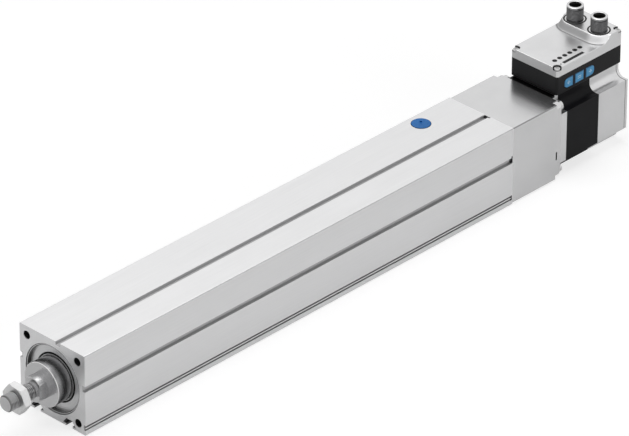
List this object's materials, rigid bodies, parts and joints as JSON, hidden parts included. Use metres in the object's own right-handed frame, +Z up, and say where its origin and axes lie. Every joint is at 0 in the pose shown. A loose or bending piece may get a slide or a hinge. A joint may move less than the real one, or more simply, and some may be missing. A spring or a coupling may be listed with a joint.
{
  "type": "electric cylinder",
  "caption": "Electric rod cylinder: square anodised barrel, threaded rod end with lock nut, in-line stepper motor and a top controller with keys, lamps and two round connectors.",
  "frame": {"origin": "on the rod's axis, at the barrel's front face", "axes": "+X the way the rod comes out, +Z up through the controller, +Y the side with the three keys"},
  "size_m": [0.565, 0.06, 0.0978],
  "materials": {
    "barrel_anodised": "satin clear anodised",
    "cast_aluminium": "satin, fine cast grain",
    "turned_aluminium": "turned",
    "cap_blue": "matt",
    "key_blue": "semi gloss",
    "seal_rubber": "matt",
    "buffer_urethane": "matt",
    "spider_urethane": "matt",
    "bronze": "machined",
    "copper": "enamelled winding",
    "gold_contact": "plated",
    "ground_steel": "ground and hard chromed",
    "machined_steel": "machined",
    "zinc_steel": "zinc plated",
    "bearing_steel": "polished",
    "magnet": "dull",
    "lamination_black": "black lacquer over stacked sheet",
    "guide_plastic": "matt",
    "tub_black": "fine grain",
    "insert_black": "matt",
    "lamp_clear": "clear",
    "display_dark": "tinted",
    "board_green": "solder resist",
    "component_dark": "moulded",
    "nickel_brass": "nickel plated",
    "dome_steel": "polished"
  },
  "bodies": {
    "cylinder_body": {"profile_barrel": "barrel_anodised", "port_cap": "cap_blue", "port_seal": "seal_rubber", "bearing_cap": "turned_aluminium", "retaining_ring": "machined_steel", "guide_bush": "bronze", "rod_wiper": "seal_rubber", "rear_buffer": "buffer_urethane", "screw_bearing_outer_rings": "bearing_steel", "bearing_clamp_ring": "machined_steel", "coupling_housing": "cast_aluminium", "motor_flange": "cast_aluminium", "flange_screws": "zinc_steel", "motor_front_bell": "cast_aluminium", "stator_stack": "lamination_black", "stator_coils": "copper", "motor_bearing_outer_rings": "bearing_steel", "motor_rear_bell": "cast_aluminium", "motor_end_plate": "cast_aluminium", "tie_screws": "zinc_steel", "encoder_board": "board_green", "board_link": "guide_plastic", "controller_tub": "tub_black", "key_board": "board_green", "key_domes": "dome_steel", "controller_board": "board_green", "board_components": "component_dark", "cover_gasket": "seal_rubber", "controller_cover": "cast_aluminium", "cover_screws": "zinc_steel", "lamp_lenses": "lamp_clear", "display_window": "display_dark", "power_connector_shell": "nickel_brass", "signal_connector_shell": "nickel_brass", "connector_inserts": "insert_black", "connector_contacts": "gold_contact", "connector_seals": "seal_rubber"},
    "rod_unit": {"piston_rod": "ground_steel", "rod_end": "machined_steel", "lock_nut": "zinc_steel", "nut_carrier": "turned_aluminium", "guide_shoes": "guide_plastic", "magnet_ring": "magnet", "front_buffer": "buffer_urethane", "ball_nut": "bearing_steel"},
    "screw_unit": {"ball_screw": "ground_steel", "screw_tip_bush": "guide_plastic", "screw_bearing_inner_rings": "bearing_steel", "bearing_balls": "bearing_steel", "screw_nut": "machined_steel", "screw_hub": "turned_aluminium", "coupling_spider": "spider_urethane", "motor_hub": "turned_aluminium", "motor_shaft": "machined_steel", "rotor": "magnet", "encoder_magnet": "magnet", "motor_bearing_inner_rings": "bearing_steel"},
    "key_front_button": {"key_front": "key_blue"},
    "key_middle_button": {"key_middle": "key_blue"},
    "key_rear_button": {"key_rear": "key_blue"}
  },
  "joints": [
    {"name": "rod_slide", "type": "slide", "parent": "cylinder_body", "child": "rod_unit", "axis": [1, 0, 0], "range_m": [0, 0.25]},
    {"name": "screw_spin", "type": "hinge", "parent": "cylinder_body", "child": "screw_unit", "pos_m": [-0.4, 0, 0], "axis": [-1, 0, 0], "range_deg": [0, 7500]},
    {"name": "key_front_press", "type": "slide", "parent": "cylinder_body", "child": "key_front_button", "axis": [0, -1, 0], "range_m": [0, 0.0005], "stiffness_N_per_m": 4000},
    {"name": "key_middle_press", "type": "slide", "parent": "cylinder_body", "child": "key_middle_button", "axis": [0, -1, 0], "range_m": [0, 0.0005], "stiffness_N_per_m": 4000},
    {"name": "key_rear_press", "type": "slide", "parent": "cylinder_body", "child": "key_rear_button", "axis": [0, -1, 0], "range_m": [0, 0.0005], "stiffness_N_per_m": 4000}
  ],
  "couplings": [
    {"joint": "screw_spin", "follows": "rod_slide", "rad_per_m": 523.6}
  ]
}
